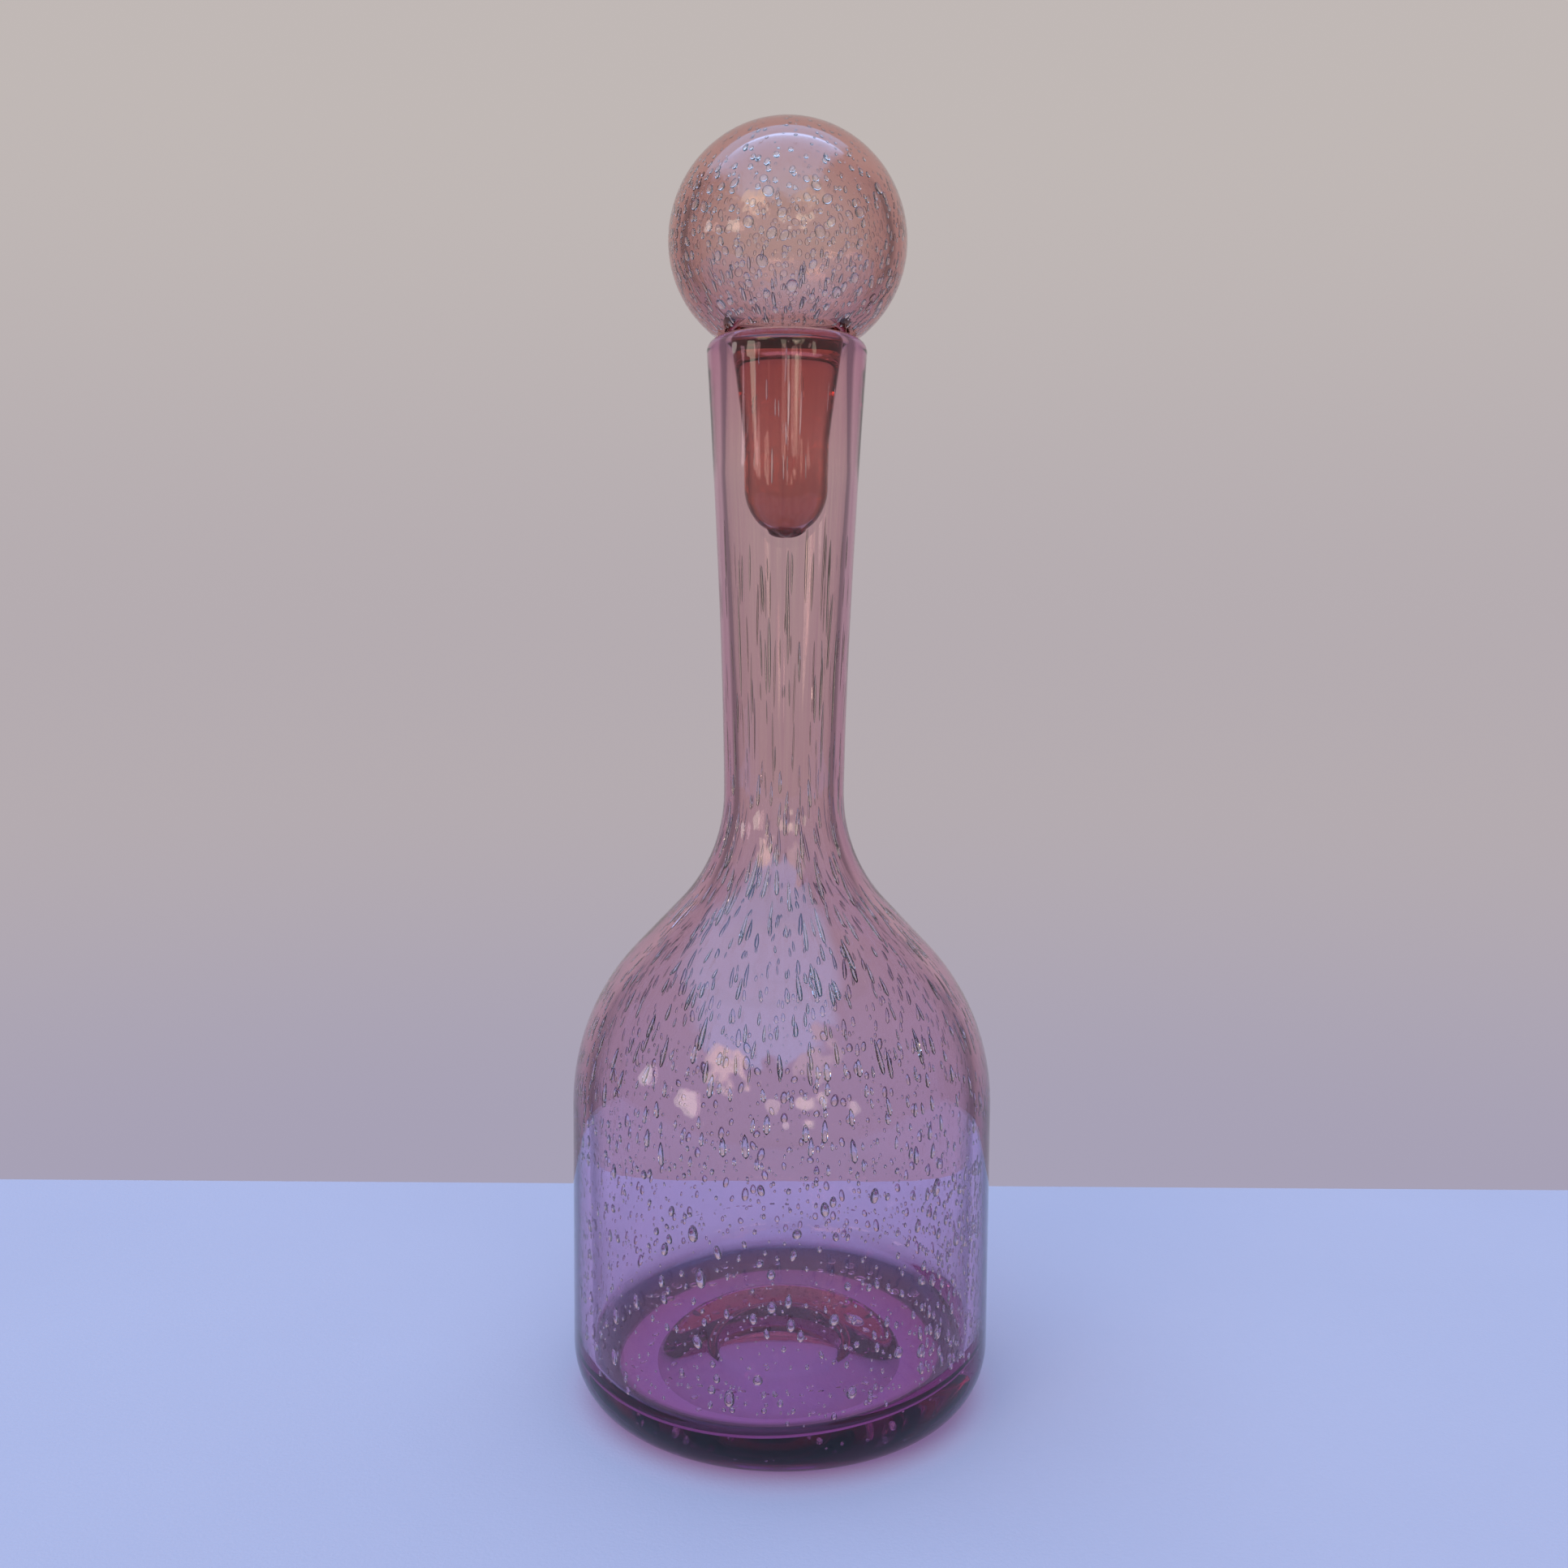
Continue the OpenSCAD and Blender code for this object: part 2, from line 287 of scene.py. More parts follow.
def hollow_outline():
    """The hollow in the ball, from its bottom up to its top."""
    return join(
        curve(0, BALL_Z, HOLLOW_R, BALL_Z - SEAT_Z - BALL_FLOOR, -90, 0, step=4),
        arc(0, BALL_Z, HOLLOW_R, 4, 90, step=4),
    )


# ---------------------------------------------------------------------------------------------
# Paths: matching points on the two sides of a wall of glass, which bubbles lie between
# ---------------------------------------------------------------------------------------------
def wall_path():
    """The outside and the inside, from the heel up to the lip."""
    neck_z = np.linspace(THROAT_Z, FLARE_TOP - 1, NECK_PATH_POINTS)[1:]
    outer = join(
        [(BODY_R, WALL_START_Z)],
        line((BODY_R, WALL_START_Z), (SHOULDER_R, SHOULDER_Z), gap=6),
        arc(SHOULDER_X, SHOULDER_Z, SHOULDER_ROUND, 0, SHOULDER_SLOPE),
        arc(THROAT_X, THROAT_Z, THROAT_ROUND, 180 + SHOULDER_SLOPE, 180),
        [(neck_at(z), z) for z in neck_z],
    )
    inner = join(
        [(BODY_IN_R, WALL_START_Z)],
        line((BODY_IN_R, WALL_START_Z), (SHOULDER_R - WALL, SHOULDER_Z), gap=6),
        arc(SHOULDER_X, SHOULDER_Z, SHOULDER_ROUND - WALL, 0, SHOULDER_SLOPE),
        arc(THROAT_X, THROAT_Z, THROAT_ROUND + WALL, 180 + SHOULDER_SLOPE, 180),
        [(bore_at(z), z) for z in neck_z],
    )
    return outer, inner


def base_path():
    """Under and over the thick base, from near the axis out and up into the wall."""
    under = join(kick_outline(), heel_outline(gap=4), [(BODY_R, FLOOR_Z + FLOOR_TURN)])
    over = join(floor_outline()[::-1], [(BODY_IN_R, FLOOR_Z + FLOOR_TURN)])
    return resample(under, PATH_POINTS), resample(over, PATH_POINTS)


def ball_path():
    """The outside and the inside of the ball, from low down up to the top."""
    angles = np.linspace(*BALL_ANGLES, PATH_POINTS)
    outer = [(BALL_R * cosd(a), BALL_Z + (BALL_DROP if a < 0 else BALL_R) * sind(a)) for a in angles]
    inner = [(HOLLOW_R * cosd(a), BALL_Z + HOLLOW_R * sind(a)) for a in angles]
    return outer, inner


def peg_path():
    """The peg's side and a line near its axis, from the rounded end up to the seat."""
    return tuple([(r, PEG_END_Z), (r, THREAD_TOP)] for r in THREAD_R)


# ---------------------------------------------------------------------------------------------
# Meshes
# ---------------------------------------------------------------------------------------------
class Mesh:
    """Vertices and faces that are gathered from several closed shells."""

    def __init__(self):
        self.verts, self.faces, self.skin, self.count = [], [], [], 0

    def add(self, verts, faces, skin=0):
        """skin is 1 for the glass's own surface and 0 for the bubbles in it."""
        self.verts.append(np.asarray(verts))
        self.skin += [skin] * len(verts)
        self.faces += [tuple(i + self.count for i in f) for f in faces]
        self.count += len(verts)

    def build(self, name):
        verts = np.concatenate(self.verts) * MM
        data = bpy.data.meshes.new(name)
        data.from_pydata(verts.tolist(), [], self.faces)
        data.polygons.foreach_set("use_smooth", [True] * len(data.polygons))
        data.attributes.new("skin", "FLOAT", "POINT").data.foreach_set("value", self.skin)
        data.update()
        piece = bpy.data.objects.new(name, data)
        bpy.context.scene.collection.objects.link(piece)
        return piece


def tilt_at(x, y):
    """How much higher or lower the hand-made floor lies at (x, y) than an even one."""
    return FLOOR_TILT[0] * x + FLOOR_TILT[1] * y


def lathe(outline, flip=False):
    """Turn an outline that starts and ends on the axis into a closed shell."""
    angle = np.arange(TURNS) * 2 * math.pi / TURNS
    verts, ring = [], []
    for r, z in outline:
        if r < AXIS_R:
            ring.append([len(verts)] * TURNS)
            verts.append((0, 0, z))
        else:
            ring.append(list(range(len(verts), len(verts) + TURNS)))
            verts += [(r * math.cos(a), r * math.sin(a), z) for a in angle]
    faces = []
    for low, high in zip(ring, ring[1:]):
        for i in range(TURNS):
            j = (i + 1) % TURNS
            face = [low[i], low[j], high[j], high[i]]
            face = [v for m, v in enumerate(face) if v not in face[:m]]
            faces.append(tuple(face[::-1]) if flip else tuple(face))
    return np.array(verts, float), faces


def ball_template(turns, rings):
    """A unit sphere: points and faces, pole to pole along y."""
    verts, faces = [(0, -1, 0)], []
    for k in range(1, rings + 1):
        a = math.pi * k / (rings + 1) - math.pi / 2
        verts += [
            (math.cos(a) * math.cos(t), math.sin(a), math.cos(a) * math.sin(t))
            for t in np.arange(turns) * 2 * math.pi / turns
        ]
    verts.append((0, 1, 0))
    last = len(verts) - 1
    for i in range(turns):
        j = (i + 1) % turns
        faces.append((0, 1 + i, 1 + j))
        for k in range(rings - 1):
            a, b = 1 + k * turns, 1 + (k + 1) * turns
            faces.append((a + i, b + i, b + j, a + j))
        top = 1 + (rings - 1) * turns
        faces.append((last, top + j, top + i))
    return np.array(verts), faces


# bubbles are coarser where they are smaller, and have more rings where they are longer
SPECK = ball_template(5, 2)
TINY = ball_template(6, 3)
ROUND = ball_template(8, 5)
THREAD = ball_template(4, 5)
LONG = ball_template(5, 8)
LARGE = ball_template(14, 9)


# ---------------------------------------------------------------------------------------------
# Bubbles
# ---------------------------------------------------------------------------------------------
CLEAR_SHARE = 0.06  # the share of the wall at each side that no bubble reaches into
SIDE_GAP, END_GAP = 0.15, 0.3  # glass left between two bubbles, beside and above each other
LONGEST = 22  # no bubble reaches further than this from its middle
TRIES = 30  # for each bubble of a zone, before the zone counts as full


class Wall:
    """A curved wall of glass between two matching runs of points, which bubbles lie in."""

    def __init__(self, outer, inner, tilted=False):
        self.outer, self.inner = np.asarray(outer), np.asarray(inner)
        self.tilted = tilted
        self.middle = (self.outer + self.inner) / 2
        steps = np.linalg.norm(np.diff(self.middle, axis=0), axis=1)
        self.along = np.concatenate([[0], np.cumsum(steps)])
        self.length = self.along[-1]

    def at(self, s, f):
        """Radius and height at the distance s along the wall, and the share f of the way in."""
        points = []
        for column in (0, 1):
            o = np.interp(s, self.along, self.outer[:, column])
            i = np.interp(s, self.along, self.inner[:, column])
            points.append(o + (i - o) * f)
        return points

    def thickness(self, s):
        return math.dist(self.at(s, 0), self.at(s, 1))

    def s_of(self, z):
        """The distance along the wall at which its middle has the height z."""
        return float(np.interp(z, self.middle[:, 1], self.along))


def bubble(mesh, wall, template, s, angle, depth, long, wide, thick, drop=0.0, lean=0.0):
    """One bubble in the wall. long, wide and thick are its half-sizes, and drop narrows its top."""
    verts, faces = template
    u, v, w = verts.T
    slim = 1 - drop * v
    u, w = u * slim, w * slim
    r_mid = wall.at(s, depth)[0]
    share = depth + w * thick / wall.thickness(s)
    r, z = wall.at(np.clip(s + v * long, 0, wall.length), share)
    a = angle + (u * wide + lean * v * long) / max(r_mid, 1)
    x, y = r * np.cos(a), r * np.sin(a)
    if wall.tilted:
        z = z + share * tilt_at(x, y)
    mesh.add(np.column_stack([x, y, z]), [face[::-1] for face in faces])


class Spread:
    """Keeps bubbles from running into each other: each is an ellipse on the unrolled wall.

    They are kept by square cells, which are wider than the half-widths of any two together.
    """

    def __init__(self, cell=6.0):
        self.cell, self.cells = cell, {}

    def free(self, x, y, wide, long):
        reach = math.ceil((long + LONGEST) / self.cell)
        cx, cy = int(x // self.cell), int(y // self.cell)
        for dy in range(-reach, reach + 1):
            for dx in range(-1, 2):
                for px, py, pw, pl in self.cells.get((cx + dx, cy + dy), ()):
                    across = abs(x - px) / (wide + pw + SIDE_GAP)
                    if across**2 + ((y - py) / (long + pl + END_GAP)) ** 2 < 1:
                        return False
        return True

    def put(self, x, y, wide, long):
        self.cells.setdefault((int(x // self.cell), int(y // self.cell)), []).append((x, y, wide, long))


def scatter(mesh, wall, rng, zones):
    """Bubbles in every zone of a wall. Big ones go first, so that small ones fill in between.

    A zone runs between two heights z, or two distances along the wall. Its other values are:
    angle, the part of the turn that it covers, with 0 on the right and 90 at the back;
    count, shape, and wide, the range of half-widths, where a higher skew makes more small ones;
    stretch, the length for each width; flat, the thickness for each width, and depth, the place
    in the wall; drop and lean, as for a bubble; r_max, its largest radius.
    """
    spread = Spread()
    for zone in zones:
        low, high = zone["along"] if "along" in zone else (wall.s_of(z) for z in zone["z"])
        placed = tries = 0
        while placed < zone["count"] and tries < zone["count"] * TRIES:
            tries += 1
            s = rng.uniform(low, high)
            r_mid, _ = wall.at(s, 0.5)
            # rings near the axis are shorter, so they take fewer bubbles
            if rng.random() > r_mid / zone["r_max"]:
                continue
            angle = math.radians(rng.uniform(*zone.get("angle", (0, 360))))
            wide = zone["wide"][0] + (zone["wide"][1] - zone["wide"][0]) * rng.random() ** zone["skew"]
            long = wide * rng.uniform(*zone["stretch"])
            long = min(long, (high - low) / 2, s, wall.length - s)
            depth = rng.uniform(*zone["depth"])
            room = wall.thickness(s) * (min(depth, 1 - depth) - CLEAR_SHARE)
            x = angle * r_mid
            if not spread.free(x, s, wide, long):
                continue
            spread.put(x, s, wide, long)
            lean = rng.normal(0, zone["lean"])
            thick = min(wide * zone["flat"], room)
            bubble(mesh, wall, zone["shape"], s, angle, depth, long, wide, thick, zone["drop"], lean)
            placed += 1


# ---------------------------------------------------------------------------------------------
# The two pieces of glass
# ---------------------------------------------------------------------------------------------
BOTTLE_SEED, STOPPER_SEED = 41, 23

SIDE = dict(depth=(0.3, 0.62), flat=0.4, skew=1.6, r_max=65)
SIDE_ZONES = [
    # the neck: air drawn out into threads
    dict(SIDE, shape=LONG, z=(196, 262), count=30, wide=(0.3, 0.6), stretch=(14, 34), drop=0, lean=0.02,
         r_max=22, flat=0.1),
    dict(SIDE, shape=THREAD, z=(186, 264), count=70, wide=(0.15, 0.4), stretch=(10, 30), drop=0, lean=0.025,
         r_max=22, flat=0.15),
    # the throat and the cone under it: long drops that fan out
    dict(SIDE, shape=LONG, z=(152, 196), count=150, wide=(0.4, 0.85), stretch=(5, 10), drop=0.25, lean=0.05,
         r_max=34),
    dict(SIDE, shape=THREAD, z=(118, 158), count=380, wide=(0.35, 0.9), stretch=(3, 6.5), drop=0.3,
         lean=0.06, r_max=60),
    # the shoulder: drops with round lower ends
    dict(SIDE, shape=TINY, z=(92, 124), count=340, wide=(0.45, 1.1), stretch=(1.8, 3.6), drop=0.3, lean=0.08),
    # the body: round and oval bubbles, a drift of long ones on the right, and specks
    dict(SIDE, shape=ROUND, z=(24, 98), count=350, wide=(0.8, 1.6), stretch=(1.1, 2.0), drop=0.15, lean=0.1,
         flat=0.6),
    dict(SIDE, shape=TINY, z=(26, 82), angle=(-52, -18), count=130, wide=(0.5, 1.1), stretch=(1.4, 2.6),
         drop=0.15, lean=0.06, flat=0.6),
    dict(SIDE, shape=SPECK, z=(22, 100), count=1300, wide=(0.3, 0.8), stretch=(1.0, 1.8), drop=0.1, lean=0.1,
         flat=0.6),
]

BASE = dict(depth=(0.4, 0.7), flat=0.6, drop=0, lean=0)
# the bubble that stands out in the floor and the one beside it: how far out, angle and half-width
FLOOR_PAIR = [(25.5, 11, 3.2), (28.5, 0, 1.3)]
FLOOR_PAIR_DEPTH = 0.62
FLOOR_PAIR_FLAT = 0.5
BASE_ZONES = [
    # big bubbles along the far edge of the floor, and smaller ones all over it
    dict(BASE, shape=LARGE, along=(44, 58), angle=(15, 165), count=26, wide=(1.0, 2.0), skew=1.3,
         stretch=(0.95, 1.3), r_max=58),
    dict(BASE, shape=ROUND, along=(10, 48), count=70, wide=(0.5, 1.2), skew=1.6, stretch=(0.95, 1.1), r_max=48),
    dict(BASE, shape=TINY, along=(4, 56), count=110, wide=(0.3, 0.6), skew=1.5, stretch=(0.95, 1.2), r_max=56),
    # small ones that crowd where the wall turns into the heel
    dict(BASE, shape=TINY, along=(70, 92), count=170, wide=(0.35, 1.1), skew=1.6, stretch=(1.0, 1.5), r_max=66),
]

BALL = dict(depth=(0.28, 0.6), flat=0.2, skew=1.3, r_max=BALL_R)
BALL_ZONES = [
    dict(BALL, shape=LARGE, z=(334, 370), count=130, wide=(0.9, 1.7), stretch=(0.95, 1.2), drop=0.05, lean=0.2),
    dict(BALL, shape=ROUND, z=(332, 374), count=520, wide=(0.5, 0.95), stretch=(1.0, 1.7), drop=0.1, lean=0.1),
    dict(BALL, shape=LONG, z=(327, 346), count=260, wide=(0.35, 0.7), stretch=(2.0, 4.0), drop=0.2, lean=0.08),
    dict(BALL, shape=TINY, z=(328, 386), count=260, wide=(0.3, 0.6), stretch=(1.0, 2.0), drop=0.1, lean=0.1),
]
PEG_ZONES = [
    dict(shape=LONG, z=(286, 322), count=40, wide=(0.15, 0.4), skew=1.5, stretch=(8, 24), drop=0, lean=0.02,
         depth=(0.15, 0.7), flat=0.3, r_max=13),
]


def settle(verts, first):
    """Tilt the floor inside, which starts at the vertex first, and fade the tilt out up the wall."""
    verts = verts.copy()
    x, y, z = verts[first:].T
    fade = np.clip((FLOOR_FADE_Z - z) / (FLOOR_FADE_Z - FLOOR_Z), 0, 1)
    verts[first:, 2] += tilt_at(x, y) * fade
    return verts


def chip(verts):
    """Roughen the end of the peg, where it was cracked off the iron, with ripples of three sizes."""
    x, y, z = verts.T
    turn = np.arctan2(y, x)
    share = np.clip((PEG_END_Z - PEG_END_H + CHIP_H - z) / CHIP_H, 0, 1)
    reach = np.clip(np.hypot(x, y) / NUB_R, 0, 1)
    out = 0.10 * np.sin(3 * turn + 0.5) + 0.07 * np.sin(7 * turn + 2) + 0.05 * np.sin(13 * turn)
    up = 0.35 * np.sin(2 * turn + 1) + 0.3 * np.sin(5 * turn) + 0.2 * np.sin(11 * turn + 2)
    wider = 1 + share * out
    return np.column_stack([x * wider, y * wider, z + share * (up * reach + 0.4)])


def glass_bottle():
    rng = np.random.default_rng(BOTTLE_SEED)
    mesh = Mesh()
    outline = bottle_outline()
    verts, faces = lathe(outline)
    inside = next(k for k in range(len(outline) - 1, 0, -1) if outline[k][1] > FLOOR_FADE_Z)
    mesh.add(settle(verts, 1 + inside * TURNS), faces, skin=1)
    scatter(mesh, Wall(*wall_path()), rng, SIDE_ZONES)
    base = Wall(*base_path(), tilted=True)
    for away, angle, wide in FLOOR_PAIR:
        thick = wide * FLOOR_PAIR_FLAT
        bubble(mesh, base, LARGE, away, math.radians(angle), FLOOR_PAIR_DEPTH, wide, wide, thick)
    scatter(mesh, base, rng, BASE_ZONES)
    return mesh.build("bottle_glass")


def glass_stopper():
    rng = np.random.default_rng(STOPPER_SEED)
    mesh = Mesh()
    verts, faces = lathe(stopper_outline())
    mesh.add(chip(verts), faces, skin=1)
    mesh.add(*lathe(hollow_outline(), flip=True), skin=1)
    scatter(mesh, Wall(*ball_path()), rng, BALL_ZONES)
    scatter(mesh, Wall(*peg_path()), rng, PEG_ZONES)
    return mesh.build("stopper_glass")


# ---------------------------------------------------------------------------------------------
# Node trees
# ---------------------------------------------------------------------------------------------
class Tree:
    """Adds nodes to a tree. A value is a number, a colour, a vector or another node's output."""

    def __init__(self, owner):
        owner.use_nodes = True
        self.nodes, self.links = owner.node_tree.nodes, owner.node_tree.links

    def add(self, kind, **settings):
        node = self.nodes.new("ShaderNode" + kind)
        for name, value in settings.items():
            setattr(node, name, value)
        return node

    def put(self, socket, value):
        if isinstance(value, bpy.types.NodeSocket):
            self.links.new(value, socket)
        else:
            socket.default_value = (*value, 1) if socket.type == "RGBA" else value

    def fill(self, node, **values):
        """Put values into a node's sockets, which are named with _ for each space."""
        for name, value in values.items():
            self.put(node.inputs[name.replace("_", " ")], value)

    def operate(self, kind, operation, values):
        node = self.add(kind, operation=operation)
        for socket, value in zip(node.inputs, values):
            self.put(socket, value)
        return node.outputs

    def maths(self, operation, *values):
        return self.operate("Math", operation, values)[0]

    def vectors(self, operation, *values):
        is_number = operation in ("LENGTH", "DOT_PRODUCT")
        return self.operate("VectorMath", operation, values)["Value" if is_number else "Vector"]

    def split(self, vector):
        node = self.add("SeparateXYZ")
        self.put(node.inputs["Vector"], vector)
        return node.outputs

    def scaled(self, vector, scale):
        node = self.add("Mapping")
        self.fill(node, Vector=vector, Scale=scale)
        return node.outputs["Vector"]

    def ramp(self, value, start, end, smooth=False):
        """0 before start and 1 past end, or the other way round where end is the smaller."""
        node = self.add("MapRange", interpolation_type="SMOOTHSTEP" if smooth else "LINEAR")
        self.fill(node, Value=value, From_Min=min(start, end), From_Max=max(start, end),
                  To_Min=0.0 if start < end else 1.0, To_Max=1.0 if start < end else 0.0)
        return node.outputs["Result"]

    def mix(self, first, second, factor):
        node = self.add("Mix", data_type="RGBA")
        self.put(node.inputs["Factor"], factor)
        self.put(node.inputs[6], first)
        self.put(node.inputs[7], second)
        return node.outputs[2]

    def noise(self, where, scale, detail):
        node = self.add("TexNoise")
        self.fill(node, Vector=where, Scale=scale, Detail=detail)
        return node.outputs["Fac"]

    def bump(self, height, distance, strength=1.0, normal=None):
        node = self.add("Bump")
        self.fill(node, Height=height, Distance=distance, Strength=strength)
        if normal:
            self.put(node.inputs["Normal"], normal)
        return node.outputs["Normal"]

    def from_axis(self, where):
        """The vector straight out from the axis to a point."""
        x, y, _ = self.split(where)
        node = self.add("CombineXYZ")
        self.fill(node, X=x, Y=y)
        return node.outputs["Vector"]


# ---------------------------------------------------------------------------------------------
# Materials. Heights and radii are in metres here, and run from where a share is 0 to where it is 1.
# ---------------------------------------------------------------------------------------------
BOTTLE_LOOK = dict(
    absorb=(0.75, 0.275, 0.605),
    density=80,
    wave_h=4e-5,
    tints_and_shades=[  # warmer up the neck, and painted shade darkening the heel
        dict(colour=(1.0, 0.97, 0.88), heights=(0.13, 0.19)),
        # painted shade: the heel is darkened nearly to black
        dict(colour=(0.06, 0.05, 0.08), heights=(0.018, 0.012), radii=(0.050, 0.053)),
    ],
    # painted shade: the lower body is darkened where it is seen edge-on
    edge=dict(colour=(0.10, 0.08, 0.14), heights=(0.125, 0.095), facing=(0.60, 0.80)),
    streaks=dict(colour=(0.94, 0.88, 0.84), heights=(0.10, 0.21)),
)
STOPPER_LOOK = dict(
    absorb=(0.79, 0.34, 0.29),
    density=80,
    wave_h=6e-6,
    tints_and_shades=[  # painted shade: darker at the peg's lower end, and more so at the nub
        dict(colour=(0.60, 0.48, 0.52), heights=(0.292, 0.272)),
        dict(colour=(0.05, 0.03, 0.04), heights=(0.2716, 0.2702)),
    ],
    # painted shade: the ball is a little darker where it is seen edge-on
    edge=dict(colour=(0.94, 0.84, 0.84), heights=(0.325, 0.335), facing=(0.08, 0.50)),
)
GLASS_IOR = 1.5
STREAK_RISE = (0, 0, 1.6)  # the streaks change this fast up the glass
STREAK_LINES = (0.45, 0.70)  # the part of the noise that they take
WAVE_SHAPE = (1, 1, 0.35)  # the waves of blown glass are longer up and down than across

TABLE_COLOUR = (0.525, 0.464, 0.495)
TABLE_DARK = (0.493, 0.439, 0.470)
TABLE_FILL = (0.075, 0.082, 0.21)  # faint light of its own, which keeps shadows pale
BLUSH = (0.08, 0.01, 0.02)  # pink light that the glass throws round its foot
BLUSH_R = ((BODY_R + 5) * MM, (FOOT_R + 4) * MM)
UNDER_GLOW = (0.10, 0.075, 0.17)  # light that the thick glass gathers under the base
UNDER_R = (FOOT_R * MM, 0.6 * FOOT_R * MM)


def glass(name, absorb, density, wave_h, tints_and_shades, edge, streaks=None):
    """Clear glass whose colour comes from its depth, so that thick glass is darker.

    Each tint colours the skin, and leaves the bubbles clear. The tints that darken the heel, the peg's end and
    the nub, and the edge tint, are painted shade.
    """
    material = bpy.data.materials.new(name)
    tree = Tree(material)
    surface = tree.nodes["Principled BSDF"]
    tree.fill(surface, Roughness=0.0, IOR=GLASS_IOR, Transmission_Weight=1.0)
    volume = tree.add("VolumeAbsorption")
    tree.fill(volume, Color=absorb, Density=density)
    tree.put(tree.nodes["Material Output"].inputs["Volume"], volume.outputs["Volume"])

    where = tree.add("TexCoord").outputs["Object"]
    height = tree.split(where)[2]
    skin = tree.add("Attribute", attribute_name="skin").outputs["Fac"]

    def tinted(under, colour, heights, *shares):
        share = tree.maths("MULTIPLY", skin, tree.ramp(height, *heights))
        for more in shares:
            share = tree.maths("MULTIPLY", share, more)
        return tree.mix(under, colour, share)

    colour = (1.0, 1.0, 1.0)
    for tint in tints_and_shades:
        shares = []
        if "radii" in tint:
            away = tree.vectors("LENGTH", tree.from_axis(where))
            shares.append(tree.ramp(away, *tint["radii"]))
        colour = tinted(colour, tint["colour"], tint["heights"], *shares)
    # painted shade: where the glass is seen edge-on it is darkened, standing in for the dark bands at its sides
    facing = tree.ramp(tree.add("LayerWeight").outputs["Facing"], *edge["facing"])
    colour = tinted(colour, edge["colour"], edge["heights"], facing)
    if streaks:
        # faint streaks that run up the glass and fan out with it, of air too fine to see
        out = tree.vectors("NORMALIZE", tree.from_axis(where))
        fan = tree.vectors("ADD", out, tree.scaled(where, STREAK_RISE))
        lines = tree.ramp(tree.noise(fan, scale=16, detail=2), *STREAK_LINES)
        colour = tinted(colour, streaks["colour"], streaks["heights"], lines)
    tree.put(surface.inputs["Base Color"], colour)

    waves = tree.noise(tree.scaled(where, WAVE_SHAPE), scale=90, detail=1)
    waves = tree.maths("MULTIPLY", skin, waves)
    tree.put(surface.inputs["Normal"], tree.bump(waves, wave_h))
    return material


def lit(first, second):
    """The light of both together."""
    return tuple(a + b for a, b in zip(first, second))


def cloth(name):
    """Matt cotton: faint wide blotches, soft creases and a fine weave."""
    material = bpy.data.materials.new(name)
    tree = Tree(material)
    surface = tree.nodes["Principled BSDF"]
    tree.fill(surface, Roughness=0.9, Specular_IOR_Level=0.1, Emission_Strength=1)
    where = tree.add("TexCoord").outputs["Object"]
    blotches = tree.noise(where, scale=9, detail=4)
    tree.put(surface.inputs["Base Color"], tree.mix(TABLE_DARK, TABLE_COLOUR, blotches))

    # the faint glow: everywhere a little, pink where the glass lights the cloth, and more under the base
    away = tree.vectors("LENGTH", tree.from_axis(where))
    glow = tree.mix(TABLE_FILL, lit(TABLE_FILL, BLUSH), tree.ramp(away, *BLUSH_R))
    glow = tree.mix(glow, lit(TABLE_FILL, UNDER_GLOW), tree.ramp(away, *UNDER_R))
    tree.put(surface.inputs["Emission Color"], glow)

    creases = tree.bump(tree.noise(where, scale=7, detail=3), distance=0.004, strength=0.35)
    threads = tree.noise(where, scale=900, detail=1)
    weave = tree.bump(threads, distance=0.0004, strength=0.25, normal=creases)
    tree.put(surface.inputs["Normal"], weave)
    return material


# ---------------------------------------------------------------------------------------------
# Stage, light and camera. Directions are azimuths from the front to the right, and elevations.
# ---------------------------------------------------------------------------------------------
TABLE_HALF, TABLE_FRONT, TABLE_BACK = 1.6, -0.62, 0.171  # metres

WALL_TOP = (0.53, 0.48, 0.465)
WALL_COLOUR = (0.46, 0.41, 0.435)
WALL_FOOT = (0.385, 0.355, 0.465)
GROUND_COLOUR = (0.32, 0.30, 0.28)
DIM_COLOUR = (0.28, 0.25, 0.23)
SIDE_COLOUR = (0.22, 0.20, 0.21)
SKY_COLOUR = (0.88, 1.5, 2.35)
SUNLIT = [  # sunlit things in front: azimuth, elevation and radius in degrees, and colour
    (-35, 32, 13, (3.8, 3.0, 2.1)),
    (16, 11, 9, (4.0, 3.5, 2.6)),
    (20, 34, 12, (1.6, 1.35, 1.0)),
    (-5, 10, 3.5, (2.4, 2.1, 1.6)),
    (39, 7, 3, (3.0, 2.7, 2.1)),
    (-52, 6, 6, (4.0, 3.6, 2.9)),
    (-82, 8, 5, (4.0, 3.7, 3.5)),
    (2, 1, 1.5, (3.0, 2.7, 2.4)),
]
SUN_RAGGED = 3.0  # how far a sunlit patch's edge strays, for each unit of its radius
SUN_EDGE = (1.1, 0.75)  # where the patch fades in, for each unit of its radius
WALL_RISE = 1.8  # the sky starts above a plane that rises this steeply to the back
TREES_RISE = 0.5  # and above trees that stand higher to the right
TREES_RAGGED = 0.5  # how far their tops stray
# where each thing fades in, along the x, y or z of a direction
WALL_COLOUR_Z, WALL_TOP_Z = (-0.34, -0.10), (-0.05, 0.30)
WALL_X, WALL_Y = (0.74, 0.56), (-0.08, 0.10)
DIM_Z = (-0.08, 0.04)
SKY_OVER_WALL, SKY_OVER_TREES = (-0.03, 0.08), (0.50, 0.58)
SKY_LEFT, SKY_RIGHT = (-0.76, -0.62), (0.54, 0.40)

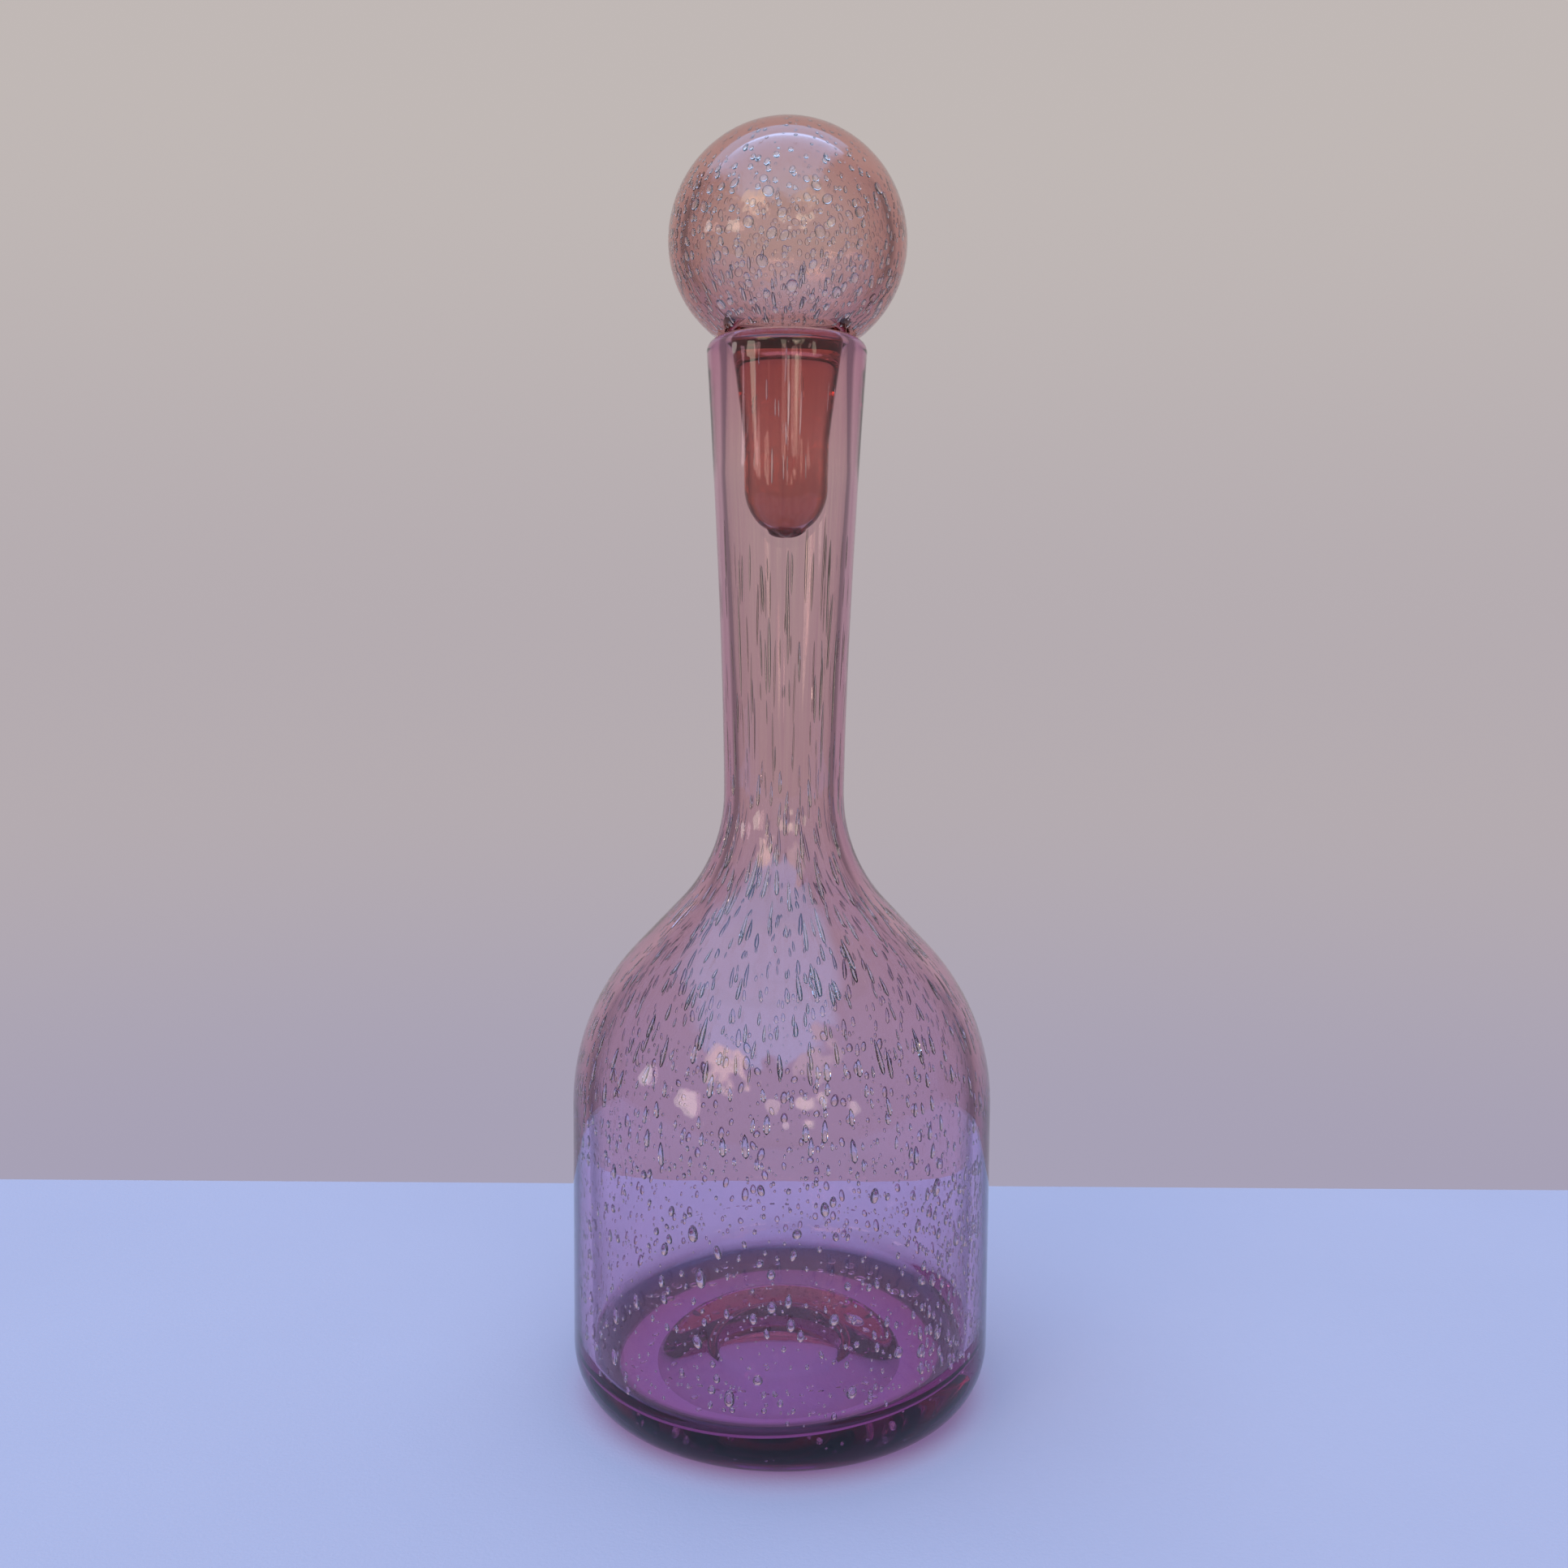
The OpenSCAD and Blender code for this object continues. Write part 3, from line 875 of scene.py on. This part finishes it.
CAMERA_AT = (0, -0.4816, 0.2481)
CAMERA_PITCH, CAMERA_ROLL = 6.5, 0.4  # degrees down and round
FOCAL, PHOTO_SIZE = 1935, 1932  # pixels
SENSOR = 36  # millimetres
NEAREST = 0.01  # metres from the camera
GLASS_BOUNCES, GLOSSY_BOUNCES = 40, 8  # light has to pass many bubbles


def table():
    data = bpy.data.meshes.new("table")
    left, right, front, back = -TABLE_HALF, TABLE_HALF, TABLE_FRONT, TABLE_BACK
    corners = [(left, front, 0), (right, front, 0), (right, back, 0), (left, back, 0)]
    data.from_pydata(corners, [], [(0, 1, 2, 3)])
    data.materials.append(cloth("table_cloth"))
    top = bpy.data.objects.new("table", data)
    bpy.context.scene.collection.objects.link(top)


def sunlit(tree, where, azimuth, elevation, radius, ragged):
    """1 near one direction in front, fading to 0 at a ragged edge."""
    towards = (sind(azimuth) * cosd(elevation), -cosd(azimuth) * cosd(elevation), sind(elevation))
    near = tree.vectors("DOT_PRODUCT", where, towards)
    away = tree.maths("ARCCOSINE", tree.maths("MINIMUM", near, 1.0))
    far = math.radians(radius)
    away = tree.maths("ADD", away, tree.maths("MULTIPLY", ragged, far * SUN_RAGGED))
    return tree.ramp(away, *(far * share for share in SUN_EDGE), smooth=True)


def world():
    """A pale wall behind, sunlit and dim things in front and a patch of open sky overhead."""
    studio = bpy.data.worlds.new("studio")
    tree = Tree(studio)
    where = tree.add("TexCoord").outputs["Generated"]
    x, y, z = tree.split(where)

    def ramp(value, fade):
        return tree.ramp(value, *fade, smooth=True)

    # the pale wall behind, bluer low down where the cloth lights it, and what is dim beside it
    wall = tree.mix(WALL_FOOT, WALL_COLOUR, ramp(z, WALL_COLOUR_Z))
    wall = tree.mix(wall, WALL_TOP, ramp(z, WALL_TOP_Z))
    back = tree.mix(SIDE_COLOUR, wall, ramp(tree.maths("ABSOLUTE", x), WALL_X))

    # what is in front: ground, then dim things with ragged sunlit patches between them
    ragged = tree.maths("SUBTRACT", tree.noise(where, scale=6, detail=1), 0.5)
    front = tree.mix(GROUND_COLOUR, DIM_COLOUR, ramp(z, DIM_Z))
    for azimuth, elevation, radius, colour in SUNLIT:
        front = tree.mix(front, colour, sunlit(tree, where, azimuth, elevation, radius, ragged))
    room = tree.mix(front, back, ramp(y, WALL_Y))

    # open sky, from above the trees in front to the top of the wall
    above_wall = tree.maths("SUBTRACT", z, tree.maths("MULTIPLY", y, WALL_RISE))
    trees = tree.maths("MULTIPLY", tree.maths("MAXIMUM", x, 0.0), TREES_RISE)
    leaves = tree.maths("MULTIPLY", ragged, TREES_RAGGED)
    above_trees = tree.maths("ADD", tree.maths("SUBTRACT", z, trees), leaves)
    up = tree.maths("MULTIPLY", ramp(above_wall, SKY_OVER_WALL), ramp(above_trees, SKY_OVER_TREES))
    for side in (SKY_LEFT, SKY_RIGHT):
        up = tree.maths("MULTIPLY", up, ramp(x, side))
    room = tree.mix(room, SKY_COLOUR, up)

    # the glass shows all that, and the camera itself sees the plain wall on every side
    seen = tree.mix(room, wall, tree.add("LightPath").outputs["Is Camera Ray"])
    tree.put(tree.nodes["Background"].inputs["Color"], seen)
    bpy.context.scene.world = studio


def camera():
    """The photograph's view: its distance, height, pitch and slight roll."""
    data = bpy.data.cameras.new("camera")
    data.sensor_width = SENSOR
    data.lens = FOCAL / PHOTO_SIZE * SENSOR
    data.clip_start = NEAREST
    view = bpy.data.objects.new("camera", data)
    tilt = Matrix.Rotation(math.radians(90 - CAMERA_PITCH), 4, "X")
    roll = Matrix.Rotation(math.radians(CAMERA_ROLL), 4, "Z")
    view.matrix_world = Matrix.Translation(CAMERA_AT) @ tilt @ roll
    bpy.context.scene.collection.objects.link(view)
    bpy.context.scene.camera = view


def main():
    world()
    table()
    camera()
    bottle = glass_bottle()
    stopper = glass_stopper()
    bottle.data.materials.append(glass("bottle_glass", **BOTTLE_LOOK))
    stopper.data.materials.append(glass("stopper_glass", **STOPPER_LOOK))
    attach(bottle, "bottle")
    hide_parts("bottle")
    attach(stopper, "stopper")
    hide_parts("stopper")

    scene = bpy.context.scene
    scene.view_settings.view_transform = "Standard"
    scene.cycles.max_bounces = scene.cycles.transmission_bounces = GLASS_BOUNCES
    scene.cycles.glossy_bounces = GLOSSY_BOUNCES


main()
